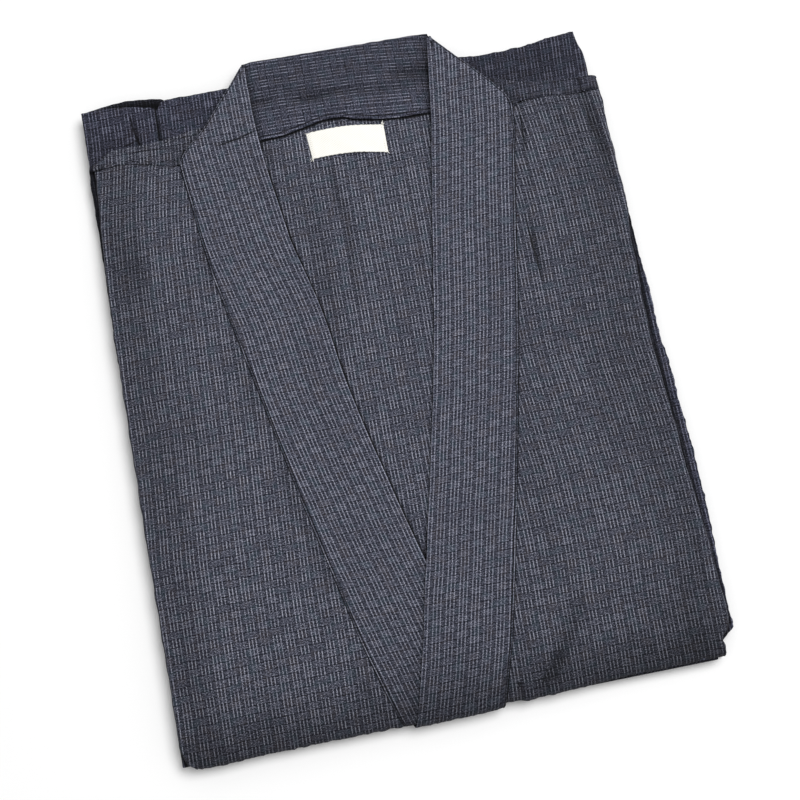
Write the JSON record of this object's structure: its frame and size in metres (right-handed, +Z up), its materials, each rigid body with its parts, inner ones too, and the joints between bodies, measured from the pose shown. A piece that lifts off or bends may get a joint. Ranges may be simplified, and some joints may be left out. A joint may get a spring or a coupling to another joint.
{
  "type": "folded cotton yukata robe",
  "caption": "Cotton yukata robe folded into a flat rectangular bundle, face up, its crossed collar bands, shoulder seams and turned-back sleeves showing.",
  "frame": {"origin": "middle of the folded bundle's box, on the surface it rests on", "axes": "+Z up out of the bundle's face, +Y along the folded length towards the neck, +X across towards the wearer's left"},
  "size_m": [0.3518, 0.4445, 0.0176],
  "materials": {
    "crimped_cotton": "matt crimped navy cotton with short pale warp stripes",
    "collar_cotton": "the same cotton, doubled and pressed flat",
    "label_ribbon": "ivory woven ribbon, plain"
  },
  "bodies": {
    "root": {"hidden_layers": "crimped_cotton", "back_panel": "crimped_cotton", "front_right": "crimped_cotton", "front_left": "crimped_cotton", "shoulder_right": "crimped_cotton", "shoulder_left": "crimped_cotton", "sleeve_right": "crimped_cotton", "sleeve_left": "crimped_cotton", "collar_neck": "collar_cotton", "collar_right": "collar_cotton", "collar_left": "collar_cotton", "neck_label": "label_ribbon"}
  },
  "joints": []
}
